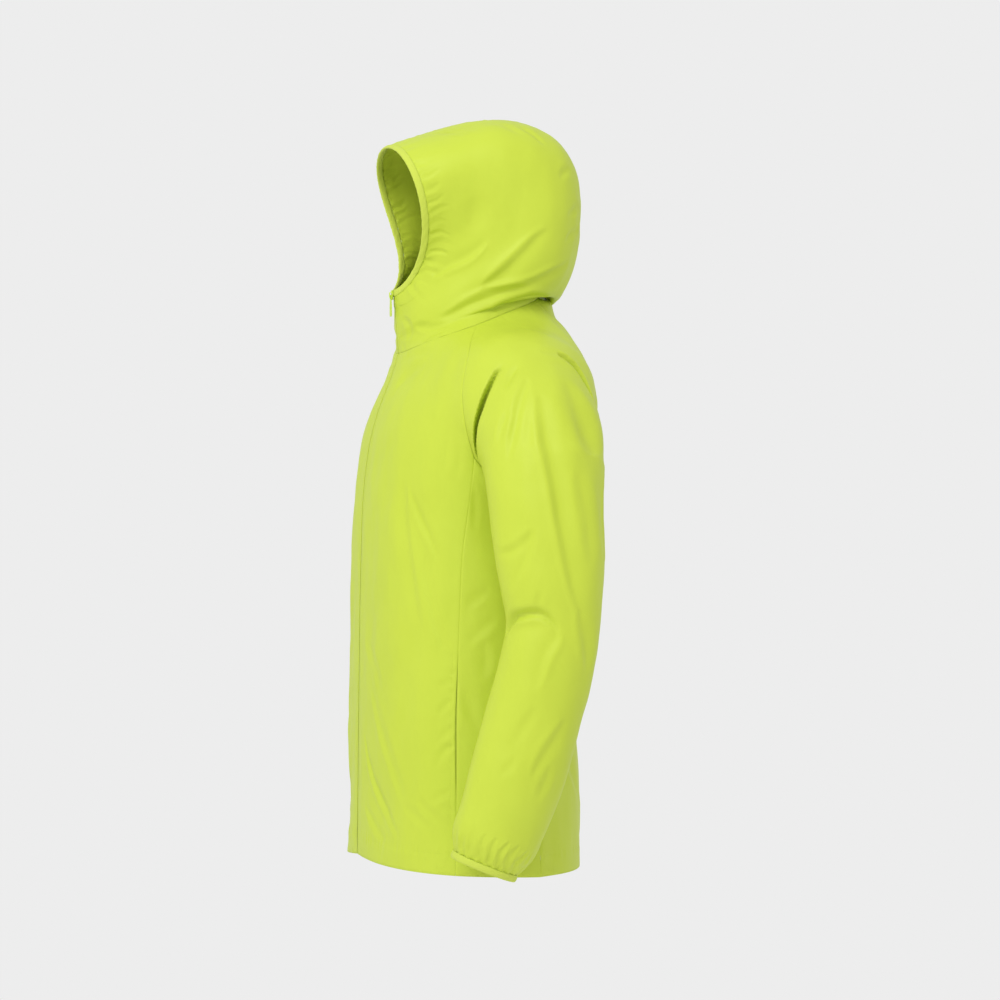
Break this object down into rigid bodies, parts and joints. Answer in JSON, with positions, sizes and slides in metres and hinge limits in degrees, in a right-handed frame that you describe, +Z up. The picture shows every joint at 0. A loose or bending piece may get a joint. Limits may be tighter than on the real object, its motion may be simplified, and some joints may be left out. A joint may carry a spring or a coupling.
{
  "type": "hooded windbreaker jacket",
  "caption": "Light hooded zip-up windbreaker with raglan sleeves, side panels and elastic cuffs, filled out as it is worn.",
  "frame": {"origin": "in the middle of the neck base, at the height of the shoulders, where the wearer holds the jacket up", "axes": "+Z up along the body, -Y to the front, +X to the wearer's left"},
  "size_m": [0.6468, 0.292, 0.9318],
  "materials": {
    "shell_cloth": "thin woven nylon with a soft sheen",
    "elastic_binding": "folded elastic tape, matt",
    "zip_tape": "woven tape",
    "zip_coil": "moulded nylon coil",
    "zip_slider": "satin paint",
    "zip_pull": "satin paint"
  },
  "bodies": {
    "jacket": {"back": "shell_cloth", "front_left": "shell_cloth", "front_right": "shell_cloth", "side_left": "shell_cloth", "side_right": "shell_cloth", "sleeve_left": "shell_cloth", "sleeve_right": "shell_cloth", "hood_left": "shell_cloth", "hood_right": "shell_cloth", "cuff_left": "elastic_binding", "cuff_right": "elastic_binding", "hood_binding": "elastic_binding", "pocket_left": "shell_cloth", "pocket_right": "shell_cloth", "zip_tape_left": "zip_tape", "zip_tape_right": "zip_tape", "zip_coil": "zip_coil", "zip_slider": "zip_slider"},
    "pull_tab": {"zip_pull": "zip_pull"}
  },
  "joints": [
    {"name": "pull_tab_hinge", "type": "hinge", "parent": "jacket", "child": "pull_tab", "pos_m": [0, -0.09303, 0.03021], "axis": [-1, 0, 0], "range_deg": [0, 150]}
  ]
}
